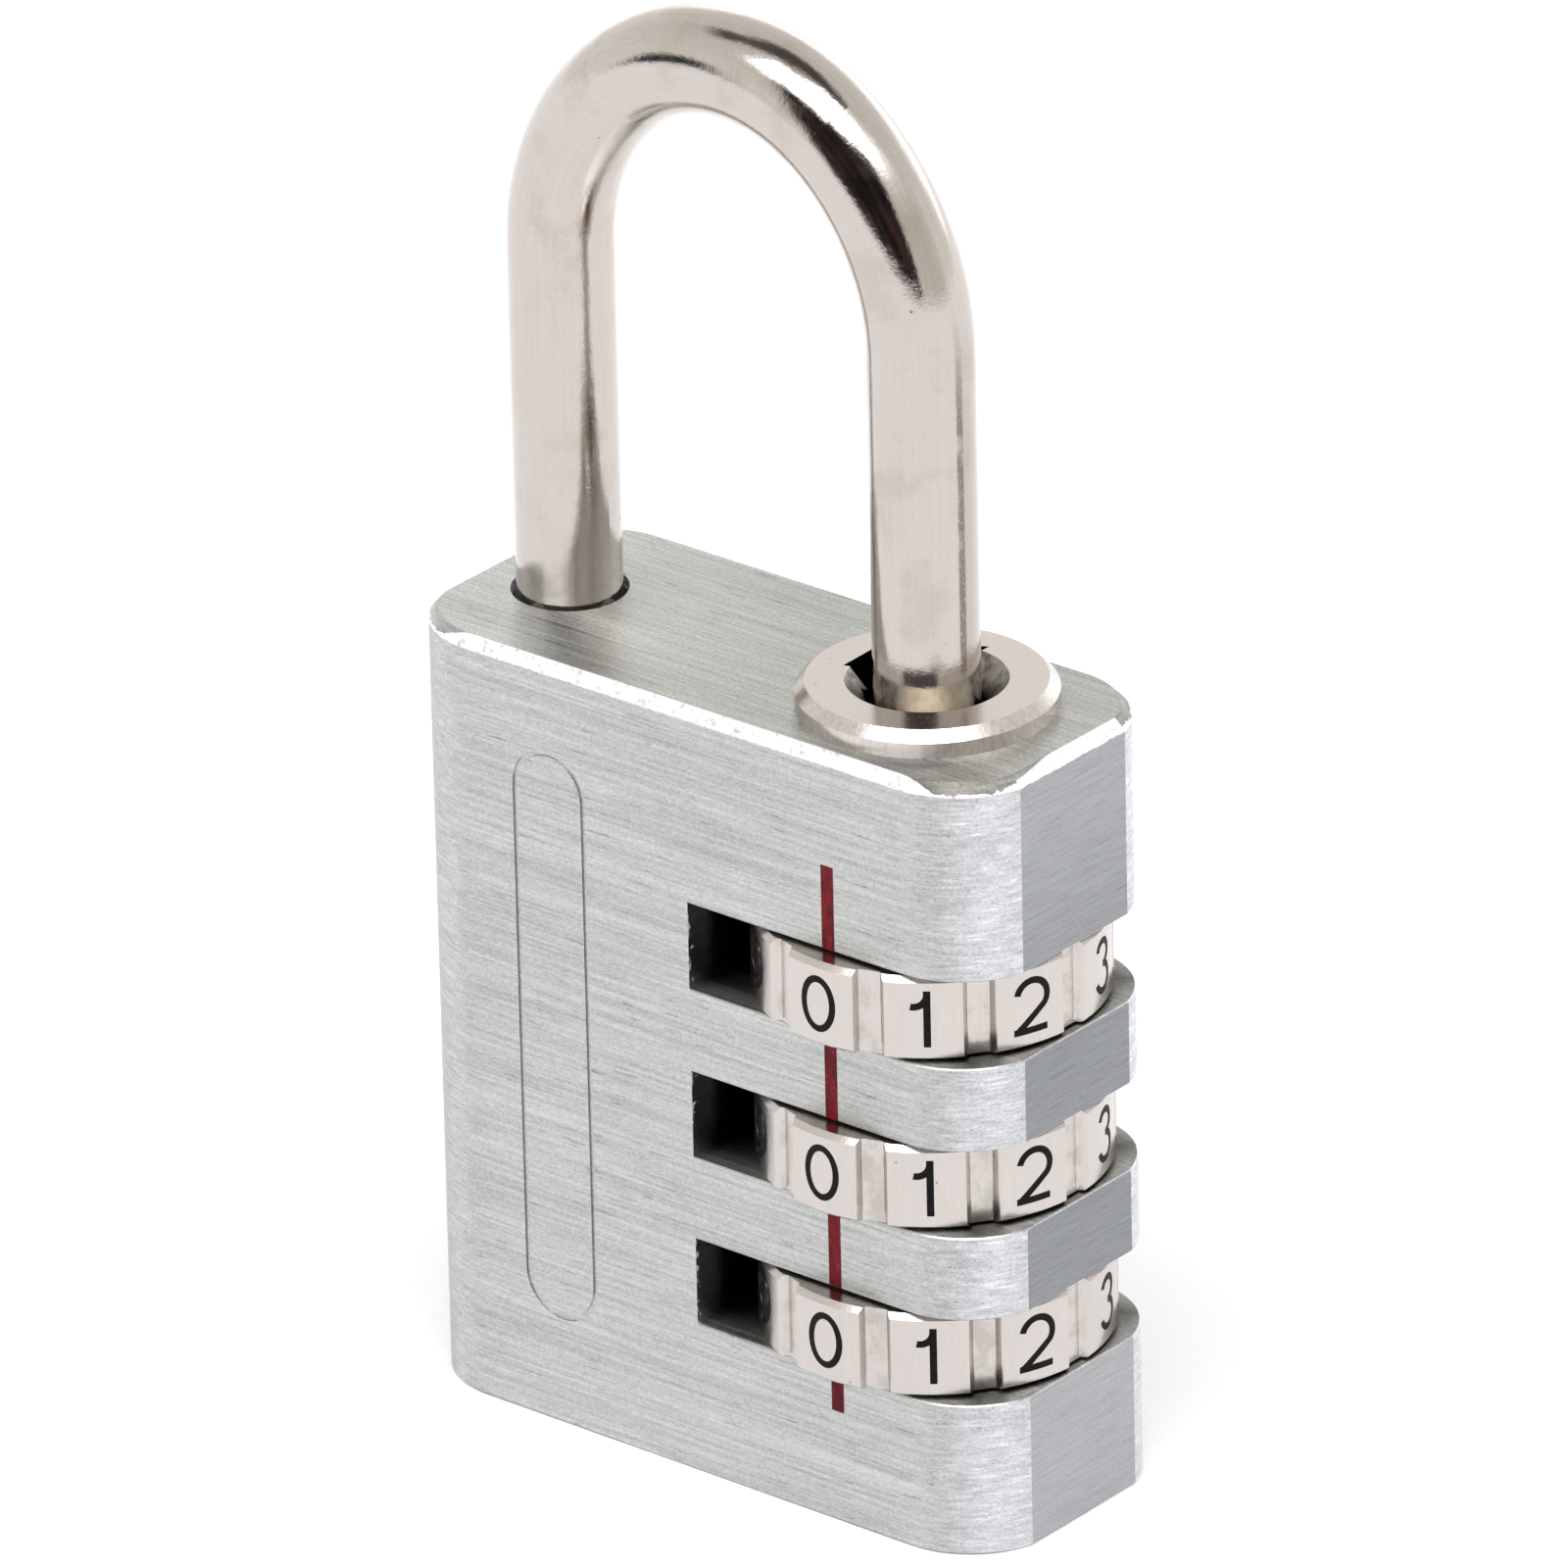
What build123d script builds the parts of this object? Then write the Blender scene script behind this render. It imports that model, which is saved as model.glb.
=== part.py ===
from build123d import *
import os
from math import acos, cos, hypot, radians, sin, sqrt

# Resettable three-dial combination padlock, in millimetres.
# +X runs along the width towards the dials, -Y is the front face with the index line, +Z is up.
# The origin is the centre of the base.

os.makedirs("parts", exist_ok=True)

# Body block
BODY_WIDTH = 40.0
BODY_THICKNESS = 16.8
BODY_HEIGHT = 45.5
CORNER_RADIUS = 5.4
CORNER_DEPTH = 3.95  # how far each corner arc reaches along Y
TOP_CHAMFER = 0.6
BASE_CHAMFER = 0.12
WEB_CHAMFER = 0.08
CUTTER_MARGIN = 0.5  # how far a cutter stands out past the faces that it trims

# Dial slots, from the bottom upwards
LEVEL_NAMES = ("bottom", "middle", "top")
SLOT_PITCH = 10.0
SLOT_HEIGHT = 5.1
LOWEST_SLOT_FLOOR = 8.95
SLOT_WALL_X = 0.29
SLOT_FLOORS = [LOWEST_SLOT_FLOOR + SLOT_PITCH * level for level in range(len(LEVEL_NAMES))]

# Dial wheels
DIAL_RADIUS = 9.7
DIAL_HEIGHT = 4.8
DIAL_GAP = (SLOT_HEIGHT - DIAL_HEIGHT) / 2
DIGIT_COUNT = 10
DIGIT_STEP = 360 / DIGIT_COUNT
FRONT_ANGLE = -90.0  # the digit under the index line faces this way
FLUTE_HALF_WIDTH = 0.86
FLUTE_FLOOR_HALF_WIDTH = 0.6
FLUTE_DEPTH = 0.5
FLUTE_FLOOR_FILLET = 0.2
FLUTE_LIP = 0.06
DIAL_TOP_CHAMFER = 0.3
DIAL_BASE_CHAMFER = 0.12

# Digits, engraved and filled with enamel, measured to the middle of the stroke
DIGIT_HALF_WIDTH = 0.95
DIGIT_HALF_HEIGHT = 1.45
DIGIT_STROKE = 0.4
ENGRAVING_DEPTH = 0.2
ENAMEL_RECESS = 0.03

# Bore that holds the sleeves, and the clutch between each sleeve and its dial
BORE_RADIUS = 5.95
SLEEVE_RADIUS = 5.9
SLEEVE_NECK_RADIUS = 5.2
SLEEVE_HEIGHT = 5.8
SPLINE_HEIGHT = 2.6
SLEEVE_FLANGE = 1.0
CLUTCH_HEIGHT = 1.8
TOOTH_WIDTH = 1.1
TOOTH_TIP_RADIUS = 5.28
TOOTH_LENGTH = 1.0
SPLINE_GROOVE_WIDTH = 1.3
SPLINE_GROOVE_DEPTH = SLEEVE_RADIUS - SLEEVE_NECK_RADIUS
AXIAL_GAP = 0.05

# Shackle
ROD_RADIUS = 2.9
LONG_LEG_X = 10.2
TOE_LEG_X = -14.4
SPRING_LINE = 20.2  # straight leg above the body
ARCH_RISE = 13.4
CROWN_RADIUS = 11.2
TOE_DEPTH = 6.5
TOE_BORE_RADIUS = 3.22
TOE_BORE_DEPTH = 8.0
TOE_CHAMFER = 0.7
LIFT = 8.2

# Fins on the long leg that the sleeves block
FIN_RADIUS = 4.3
FIN_WIDTH = 1.8
FIN_HEIGHT = 2.0
FIN_GAP = 0.2
FIN_SLOT_WIDTH = 2.4
FIN_SLOT_RADIUS = 4.6
ROD_CLEARANCE = 0.08

# Collar bush: a hexagonal bore with a conical mouth, and a blind pocket in the far side of the cone
COLLAR_RADIUS = 7.1
COLLAR_HEIGHT = 1.44
COLLAR_BEVEL = 0.57
HEX_RADIUS = 3.6  # to the corners
HEX_TURN = 25.0
MOUTH_RADIUS = 4.4
MOUTH_DEPTH = 1.6
MOUTH_FOOT_RADIUS = 3.1
POCKET_DEPTH = 3.0
POCKET_CORNERS = ((4.75, 198.0), (5.2, 152.0), (5.0, 87.0))  # reach and direction of each corner

# Base plug, springs and index line
PLUG_HEIGHT = 2.0
PLUG_CHAMFER = 0.15
SPIGOT_RADIUS = 1.5
SPIGOT_HEIGHT = 1.0
RESET_WIRE_RADIUS = 0.35
RESET_COIL_RADIUS = 5.3
RESET_TURNS = 4
SHACKLE_WIRE_RADIUS = 0.25
SHACKLE_COIL_RADIUS = 2.25
SHACKLE_SPRING_TURNS = 5
THRUST_RING_HEIGHT = 1.1
INDEX_X = 9.95
INDEX_WIDTH = 0.85
INDEX_BOTTOM = 6.6
INDEX_TOP = 39.0
INDEX_DEPTH = 0.15

# Click spring: a leaf with one bow for each dial, in its own channel
CHANNEL_X = -0.6
CHANNEL_RADIUS = 1.5
CHANNEL_TOP = 36.5
LEAF_X = -1.3
LEAF_THICKNESS = 0.25
LEAF_WIDTH = 1.5
LEAF_BOW_X = 0.28
LEAF_BOW_HALF = 0.6
LEAF_FOOT_HALF = 2.3
LEAF_BEND = 0.35
LEAF_END_GAP = 0.1

# Blank engraved cartouche on the front face
CARTOUCHE_X = -9.2
CARTOUCHE_WIDTH = 5.0
CARTOUCHE_HEIGHT = 34.0
CARTOUCHE_Z = 23.3
CARTOUCHE_LINE = 0.3
CARTOUCHE_DEPTH = 0.1

FRONT_Y = -BODY_THICKNESS / 2
SLEEVE_OVERHANG = (SLEEVE_HEIGHT - SLOT_HEIGHT) / 2
SLEEVE_BASES = [floor - SLEEVE_OVERHANG for floor in SLOT_FLOORS]
FIN_BASES = [base - FIN_GAP - FIN_HEIGHT for base in SLEEVE_BASES]
BUSH_BASE = SLEEVE_BASES[-1] + SLEEVE_HEIGHT + AXIAL_GAP
FIN_STOP = FIN_BASES[-1] + FIN_HEIGHT + LIFT + AXIAL_GAP
PIECES = {}


def finish(piece, name):
    """Label a finished piece and write its STEP file."""
    piece.part.label = name
    PIECES[name] = piece.part
    export_step(piece.part, f"parts/{name}.step")


def at_long_leg(height):
    """Horizontal plane at a height, centred on the long leg."""
    return Plane.XY.offset(height).shift_origin((LONG_LEG_X, 0, height))


def body_outline():
    """Outline of the block: flat faces joined by four arcs that end in a crisp edge at each side."""
    sweep_angle = acos((CORNER_RADIUS - CORNER_DEPTH) / CORNER_RADIUS)
    side_x = BODY_WIDTH / 2
    face_y = BODY_THICKNESS / 2
    face_x = side_x - CORNER_RADIUS * sin(sweep_angle)
    side_y = face_y - CORNER_DEPTH
    middle_x = face_x + CORNER_RADIUS * sin(sweep_angle / 2)
    middle_y = face_y - CORNER_RADIUS * (1 - cos(sweep_angle / 2))
    with BuildLine() as outline:
        for x_way in (-1, 1):
            Line((x_way * side_x, -side_y), (x_way * side_x, side_y))
            Line((-face_x, x_way * face_y), (face_x, x_way * face_y))
            for y_way in (-1, 1):
                ThreePointArc(
                    (x_way * face_x, y_way * face_y),
                    (x_way * middle_x, y_way * middle_y),
                    (x_way * side_x, y_way * side_y),
                )
    make_face(outline.edges())


def draw_digit(digit):
    """Draw one digit as a stroke of even width, centred on the sketch's origin."""
    side = DIGIT_HALF_WIDTH
    top = DIGIT_HALF_HEIGHT
    half_stroke = DIGIT_STROKE / 2
    if digit == 0:
        Ellipse(side + half_stroke, top + half_stroke)
        Ellipse(side - half_stroke, top - half_stroke, mode=Mode.SUBTRACT)
    elif digit == 1:
        stem_x = side / 5
        with BuildLine() as stem:
            Line((stem_x, -top - half_stroke), (stem_x, top + half_stroke))
        trace(stem.line, line_width=DIGIT_STROKE)
        with BuildLine() as flag:
            ThreePointArc((-0.74 * side, top / 2), (-0.05 * side, 0.62 * top), (stem_x, top))
        trace(flag.line, line_width=DIGIT_STROKE)
    elif digit == 2:
        with BuildLine() as curve:
            bow = CenterArc((0, top - side), side, 168, -203)
            Line(bow @ 1, (-side, -top))
        trace(curve.line, line_width=DIGIT_STROKE)
        with BuildLine() as base:
            Line((-side - half_stroke, -top), (side, -top))
        trace(base.line, line_width=DIGIT_STROKE)
    elif digit == 3:
        upper_radius = 0.47 * top
        lower_radius = top - upper_radius
        with BuildLine() as upper_bow:
            CenterArc((0, top - upper_radius), upper_radius, 165, -255)
        trace(upper_bow.line, line_width=DIGIT_STROKE)
        with BuildLine() as lower_bow:
            CenterArc((0, lower_radius - top), lower_radius, 90, -255)
        trace(lower_bow.line, line_width=DIGIT_STROKE)
    elif digit == 4:
        stem_x = 0.45 * side
        bar_z = -0.4 * top
        with BuildLine() as stem:
            Line((stem_x, -top - half_stroke), (stem_x, top + half_stroke))
        trace(stem.line, line_width=DIGIT_STROKE)
        with BuildLine() as slope:
            Polyline((stem_x, top), (-side, bar_z), (side, bar_z))
        trace(slope.line, line_width=DIGIT_STROKE)
    elif digit == 5:
        with BuildLine() as corner:
            Polyline((0.85 * side, top), (-0.65 * side, top), (-0.85 * side, 0.05 * top))
        trace(corner.line, line_width=DIGIT_STROKE)
        with BuildLine() as bow:
            CenterArc((0, side - top), side, 148, -298)
        trace(bow.line, line_width=DIGIT_STROKE)
    elif digit == 7:
        with BuildLine() as bar:
            Polyline((-side, top), (side, top), (-0.3 * side, -top))
        trace(bar.line, line_width=DIGIT_STROKE)
    elif digit == 8:
        upper_radius = 0.46 * top
        lower_radius = top - upper_radius
        bowls = ((top - upper_radius, upper_radius), (lower_radius - top, lower_radius))
        for centre, radius in bowls:
            with Locations((0, centre)):
                Circle(radius + half_stroke)
        for centre, radius in bowls:
            with Locations((0, centre)):
                Circle(radius - half_stroke, mode=Mode.SUBTRACT)
    else:
        # A six, or the same figure turned over for a nine
        way = 1 if digit == 6 else -1
        with Locations((0, way * (side - top))):
            Circle(side + half_stroke)
            Circle(side - half_stroke, mode=Mode.SUBTRACT)
        with BuildLine() as tail:
            ThreePointArc(
                (-way * side, way * (side - top)),
                (-way * 0.6 * side, way * 0.62 * top),
                (way * 0.7 * side, way * 0.93 * top),
            )
        trace(tail.line, line_width=DIGIT_STROKE)


def flute_profile():
    """Flat-bottomed flute with splayed sides and a small lip. The rim is at the origin, +X is outwards."""
    rim_drop = DIAL_RADIUS - sqrt(DIAL_RADIUS**2 - FLUTE_HALF_WIDTH**2)
    lip_half_width = FLUTE_HALF_WIDTH + FLUTE_LIP
    half = [
        (FLUTE_DEPTH, lip_half_width + FLUTE_DEPTH + rim_drop),
        (-rim_drop, lip_half_width),
        (-rim_drop - FLUTE_LIP, FLUTE_HALF_WIDTH),
        (-FLUTE_DEPTH, FLUTE_FLOOR_HALF_WIDTH),
    ]
    return half + [(x, -y) for x, y in reversed(half)]


def facet_plane(height, digit, radius):
    """Plane that faces outwards on one facet of a dial, with its up direction along +Z."""
    angle = radians(FRONT_ANGLE + DIGIT_STEP * digit)
    origin = (LONG_LEG_X + radius * cos(angle), radius * sin(angle), height)
    return Plane(origin, x_dir=(-sin(angle), cos(angle), 0), z_dir=(cos(angle), sin(angle), 0))


def web_edge_cutter(height):
    """Ring that takes the sharp edge off a web, from the slot face at 0 to the height given."""
    with BuildPart() as cutter:
        with BuildSketch():
            body_outline()
            offset(amount=CUTTER_MARGIN, mode=Mode.REPLACE)
        extrude(amount=height)
        with BuildSketch(Plane.XY.offset(height)):
            body_outline()
        with BuildSketch():
            body_outline()
            offset(amount=-WEB_CHAMFER, mode=Mode.REPLACE)
        loft(ruled=True, mode=Mode.SUBTRACT)
        split(bisect_by=Plane.YZ.offset(SLOT_WALL_X), keep=Keep.TOP)
    return cutter.part


# Block, with dial slots from the right side, the sleeve bore, the toe bore and the click channel
with BuildPart() as lock_body:
    with BuildSketch(Plane.XY.offset(BASE_CHAMFER)):
        body_outline()
    extrude(amount=BODY_HEIGHT - TOP_CHAMFER - BASE_CHAMFER)
    for full_height, inset_height in (
        (BODY_HEIGHT - TOP_CHAMFER, BODY_HEIGHT),
        (BASE_CHAMFER, 0),
    ):
        with BuildSketch(Plane.XY.offset(full_height)):
            body_outline()
        with BuildSketch(Plane.XY.offset(inset_height)):
            body_outline()
            offset(amount=-abs(inset_height - full_height), mode=Mode.REPLACE)
        loft(ruled=True)
    for floor in SLOT_FLOORS:
        with BuildSketch(Plane.XY.offset(floor)):
            with Locations((SLOT_WALL_X, 0)):
                Rectangle(BODY_WIDTH, 2 * BODY_THICKNESS, align=(Align.MIN, Align.CENTER))
        extrude(amount=SLOT_HEIGHT, mode=Mode.SUBTRACT)
    with BuildSketch(at_long_leg(0)):
        Circle(BORE_RADIUS)
    extrude(amount=BODY_HEIGHT, mode=Mode.SUBTRACT)
    with BuildSketch(Plane.XY.offset(BODY_HEIGHT - TOE_BORE_DEPTH)):
        with Locations((TOE_LEG_X, 0)):
            Circle(TOE_BORE_RADIUS)
    extrude(amount=TOE_BORE_DEPTH, mode=Mode.SUBTRACT)
    with BuildSketch():
        with Locations((CHANNEL_X, 0)):
            Circle(CHANNEL_RADIUS)
    extrude(amount=CHANNEL_TOP, mode=Mode.SUBTRACT)
    for edge_cutter, heights in (
        (web_edge_cutter(-WEB_CHAMFER), SLOT_FLOORS),
        (web_edge_cutter(WEB_CHAMFER), [floor + SLOT_HEIGHT for floor in SLOT_FLOORS]),
    ):
        with Locations(*[(0, 0, height) for height in heights]):
            add(edge_cutter, mode=Mode.SUBTRACT)
    with BuildSketch(Plane.XZ.offset(-FRONT_Y)):
        with Locations((CARTOUCHE_X, CARTOUCHE_Z)):
            SlotOverall(CARTOUCHE_HEIGHT, CARTOUCHE_WIDTH, rotation=90)
            SlotOverall(
                CARTOUCHE_HEIGHT - 2 * CARTOUCHE_LINE,
                CARTOUCHE_WIDTH - 2 * CARTOUCHE_LINE,
                rotation=90,
                mode=Mode.SUBTRACT,
            )
    extrude(amount=-CARTOUCHE_DEPTH, mode=Mode.SUBTRACT)
    with BuildSketch(Plane.XZ.offset(-FRONT_Y)):
        with Locations((INDEX_X, (INDEX_BOTTOM + INDEX_TOP) / 2)):
            Rectangle(INDEX_WIDTH, INDEX_TOP - INDEX_BOTTOM)
    extrude(amount=-INDEX_DEPTH, mode=Mode.SUBTRACT)
finish(lock_body, "lock_body")

# Red enamel in the index groove, one stretch on each web of the block
with BuildPart() as index_line:
    web_starts = [INDEX_BOTTOM] + [floor + SLOT_HEIGHT for floor in SLOT_FLOORS]
    web_ends = SLOT_FLOORS + [INDEX_TOP]
    for start, end in zip(web_starts, web_ends):
        with BuildSketch(Plane.XZ.offset(-FRONT_Y - INDEX_DEPTH)):
            with Locations((INDEX_X, (start + end) / 2)):
                Rectangle(INDEX_WIDTH, end - start)
        extrude(amount=INDEX_DEPTH - ENAMEL_RECESS)
finish(index_line, "index_line")

# Flanged bush that keeps the shackle in: conical mouth, hexagonal bore, wider chamber for the top fin
with BuildPart() as collar_bush:
    collar_top = BODY_HEIGHT + COLLAR_HEIGHT
    with BuildSketch(at_long_leg(BUSH_BASE)):
        Circle(SLEEVE_RADIUS)
    extrude(amount=BODY_HEIGHT - BUSH_BASE)
    with BuildSketch(at_long_leg(BODY_HEIGHT)):
        Circle(COLLAR_RADIUS)
    extrude(amount=COLLAR_HEIGHT)
    chamfer(collar_bush.edges().group_by(Axis.Z)[-1], COLLAR_BEVEL)
    with BuildSketch(at_long_leg(BUSH_BASE)):
        RegularPolygon(HEX_RADIUS, 6, rotation=HEX_TURN)
    extrude(amount=collar_top - BUSH_BASE, mode=Mode.SUBTRACT)
    with BuildSketch(at_long_leg(collar_top - MOUTH_DEPTH)):
        Circle(MOUTH_FOOT_RADIUS)
    with BuildSketch(at_long_leg(collar_top)):
        Circle(MOUTH_RADIUS)
    loft(mode=Mode.SUBTRACT)
    corners = [(reach * cos(radians(turn)), reach * sin(radians(turn))) for reach, turn in POCKET_CORNERS]
    with BuildSketch(at_long_leg(collar_top - POCKET_DEPTH)):
        with BuildLine():
            Polyline((0, 0), *corners, close=True)
        make_face()
    extrude(amount=POCKET_DEPTH, mode=Mode.SUBTRACT)
    with BuildSketch(at_long_leg(BUSH_BASE)):
        Circle(FIN_SLOT_RADIUS)
    extrude(amount=FIN_STOP - BUSH_BASE, mode=Mode.SUBTRACT)
finish(collar_bush, "collar_bush")

# Round plug that closes the sleeve bore and centres the shackle spring
with BuildPart() as base_plug:
    with BuildSketch(at_long_leg(0)):
        Circle(BORE_RADIUS)
    extrude(amount=PLUG_HEIGHT)
    chamfer(base_plug.edges().group_by(Axis.Z)[0], PLUG_CHAMFER)
    with BuildSketch(at_long_leg(PLUG_HEIGHT)):
        Circle(SPIGOT_RADIUS)
    extrude(amount=SPIGOT_HEIGHT)
finish(base_plug, "base_plug")

# Plug at the foot of the click channel
with BuildPart() as channel_plug:
    with BuildSketch():
        with Locations((CHANNEL_X, 0)):
            Circle(CHANNEL_RADIUS)
    extrude(amount=PLUG_HEIGHT)
    chamfer(channel_plug.edges().group_by(Axis.Z)[0], PLUG_CHAMFER)
finish(channel_plug, "channel_plug")

# Leaf spring whose bows click against the flutes of the dials
with BuildPart() as click_spring:
    leaf_points = [(LEAF_X, PLUG_HEIGHT + LEAF_END_GAP)]
    for floor in SLOT_FLOORS:
        middle = floor + SLOT_HEIGHT / 2
        leaf_points += [
            (LEAF_X, middle - LEAF_FOOT_HALF),
            (LEAF_BOW_X, middle - LEAF_BOW_HALF),
            (LEAF_BOW_X, middle + LEAF_BOW_HALF),
            (LEAF_X, middle + LEAF_FOOT_HALF),
        ]
    leaf_points.append((LEAF_X, CHANNEL_TOP - LEAF_END_GAP))
    with BuildLine(Plane.XZ) as leaf_path:
        FilletPolyline(*leaf_points, radius=LEAF_BEND)
    with BuildSketch(Plane.XY.offset(PLUG_HEIGHT + LEAF_END_GAP)):
        with Locations((LEAF_X, 0)):
            Rectangle(LEAF_THICKNESS, LEAF_WIDTH)
    sweep(path=leaf_path.line)
finish(click_spring, "click_spring")


def spacer(name, base, top):
    """Plain ring between two sleeves, with room for a fin inside it."""
    with BuildPart() as ring:
        with BuildSketch(at_long_leg(base)):
            Circle(SLEEVE_RADIUS)
            Circle(FIN_SLOT_RADIUS, mode=Mode.SUBTRACT)
        extrude(amount=top - base)
    finish(ring, name)


thrust_ring_top = SLEEVE_BASES[0] - AXIAL_GAP
thrust_ring_base = thrust_ring_top - THRUST_RING_HEIGHT
spacer("thrust_ring", thrust_ring_base, thrust_ring_top)
for name, below, above in (
    ("sleeve_spacer_lower", SLEEVE_BASES[0], SLEEVE_BASES[1]),
    ("sleeve_spacer_upper", SLEEVE_BASES[1], SLEEVE_BASES[2]),
):
    spacer(name, below + SLEEVE_HEIGHT + AXIAL_GAP, above - AXIAL_GAP)


def coil_spring(name, coil_radius, wire_radius, turns, base, top):
    """Compression spring around the long leg's axis."""
    height = top - base - 2 * wire_radius - 2 * AXIAL_GAP
    start_height = base + wire_radius + AXIAL_GAP
    with BuildPart() as spring:
        with BuildLine() as wire:
            Helix(height / turns, height, coil_radius, center=(LONG_LEG_X, 0, start_height))
        with BuildSketch(Plane(wire.line @ 0, z_dir=wire.line % 0)):
            Circle(wire_radius)
        sweep(path=wire.line, is_frenet=True)
    finish(spring, name)


# The reset spring pushes the sleeve stack up, and the shackle spring lifts the long leg
coil_spring(
    "reset_spring",
    RESET_COIL_RADIUS,
    RESET_WIRE_RADIUS,
    RESET_TURNS,
    PLUG_HEIGHT,
    thrust_ring_base,
)
coil_spring(
    "shackle_spring",
    SHACKLE_COIL_RADIUS,
    SHACKLE_WIRE_RADIUS,
    SHACKLE_SPRING_TURNS,
    PLUG_HEIGHT,
    FIN_BASES[0],
)

# U-shaped shackle: side arcs and a tighter crown arc, tangent to each other and to the legs
half_span = (LONG_LEG_X - TOE_LEG_X) / 2
arch_x = (LONG_LEG_X + TOE_LEG_X) / 2
spring_z = BODY_HEIGHT + SPRING_LINE
crown_drop = ARCH_RISE - CROWN_RADIUS
side_radius = (half_span**2 + crown_drop**2 - CROWN_RADIUS**2) / (2 * (half_span - CROWN_RADIUS))
lean = hypot(side_radius - half_span, crown_drop)
join_x = CROWN_RADIUS * (side_radius - half_span) / lean
join_z = spring_z + crown_drop + CROWN_RADIUS * crown_drop / lean
with BuildPart() as shackle:
    with BuildLine(Plane.XZ) as rod_path:
        toe_leg = Line((TOE_LEG_X, BODY_HEIGHT - TOE_DEPTH), (TOE_LEG_X, spring_z))
        rising = TangentArc(toe_leg @ 1, (arch_x - join_x, join_z), tangent=(0, 1))
        crown = TangentArc(rising @ 1, (arch_x + join_x, join_z), tangent=rising % 1)
        falling = TangentArc(crown @ 1, (LONG_LEG_X, spring_z), tangent=crown % 1)
        Line(falling @ 1, (LONG_LEG_X, FIN_BASES[0]))
    with BuildSketch(Plane.XY.offset(BODY_HEIGHT - TOE_DEPTH)):
        with Locations((TOE_LEG_X, 0)):
            Circle(ROD_RADIUS)
    sweep(path=rod_path.line)
    toe_edge = shackle.edges().filter_by(GeomType.CIRCLE).filter_by_position(
        Axis.X, TOE_LEG_X - ROD_RADIUS, TOE_LEG_X + ROD_RADIUS
    ).sort_by(Axis.Z)[0]
    chamfer(toe_edge, TOE_CHAMFER)
    for fin_base in FIN_BASES:
        with BuildSketch(at_long_leg(fin_base)):
            Rectangle(FIN_WIDTH, FIN_RADIUS, align=(Align.CENTER, Align.MIN))
            Circle(FIN_RADIUS, mode=Mode.INTERSECT)
        extrude(amount=FIN_HEIGHT)
finish(shackle, "shackle")

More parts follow.
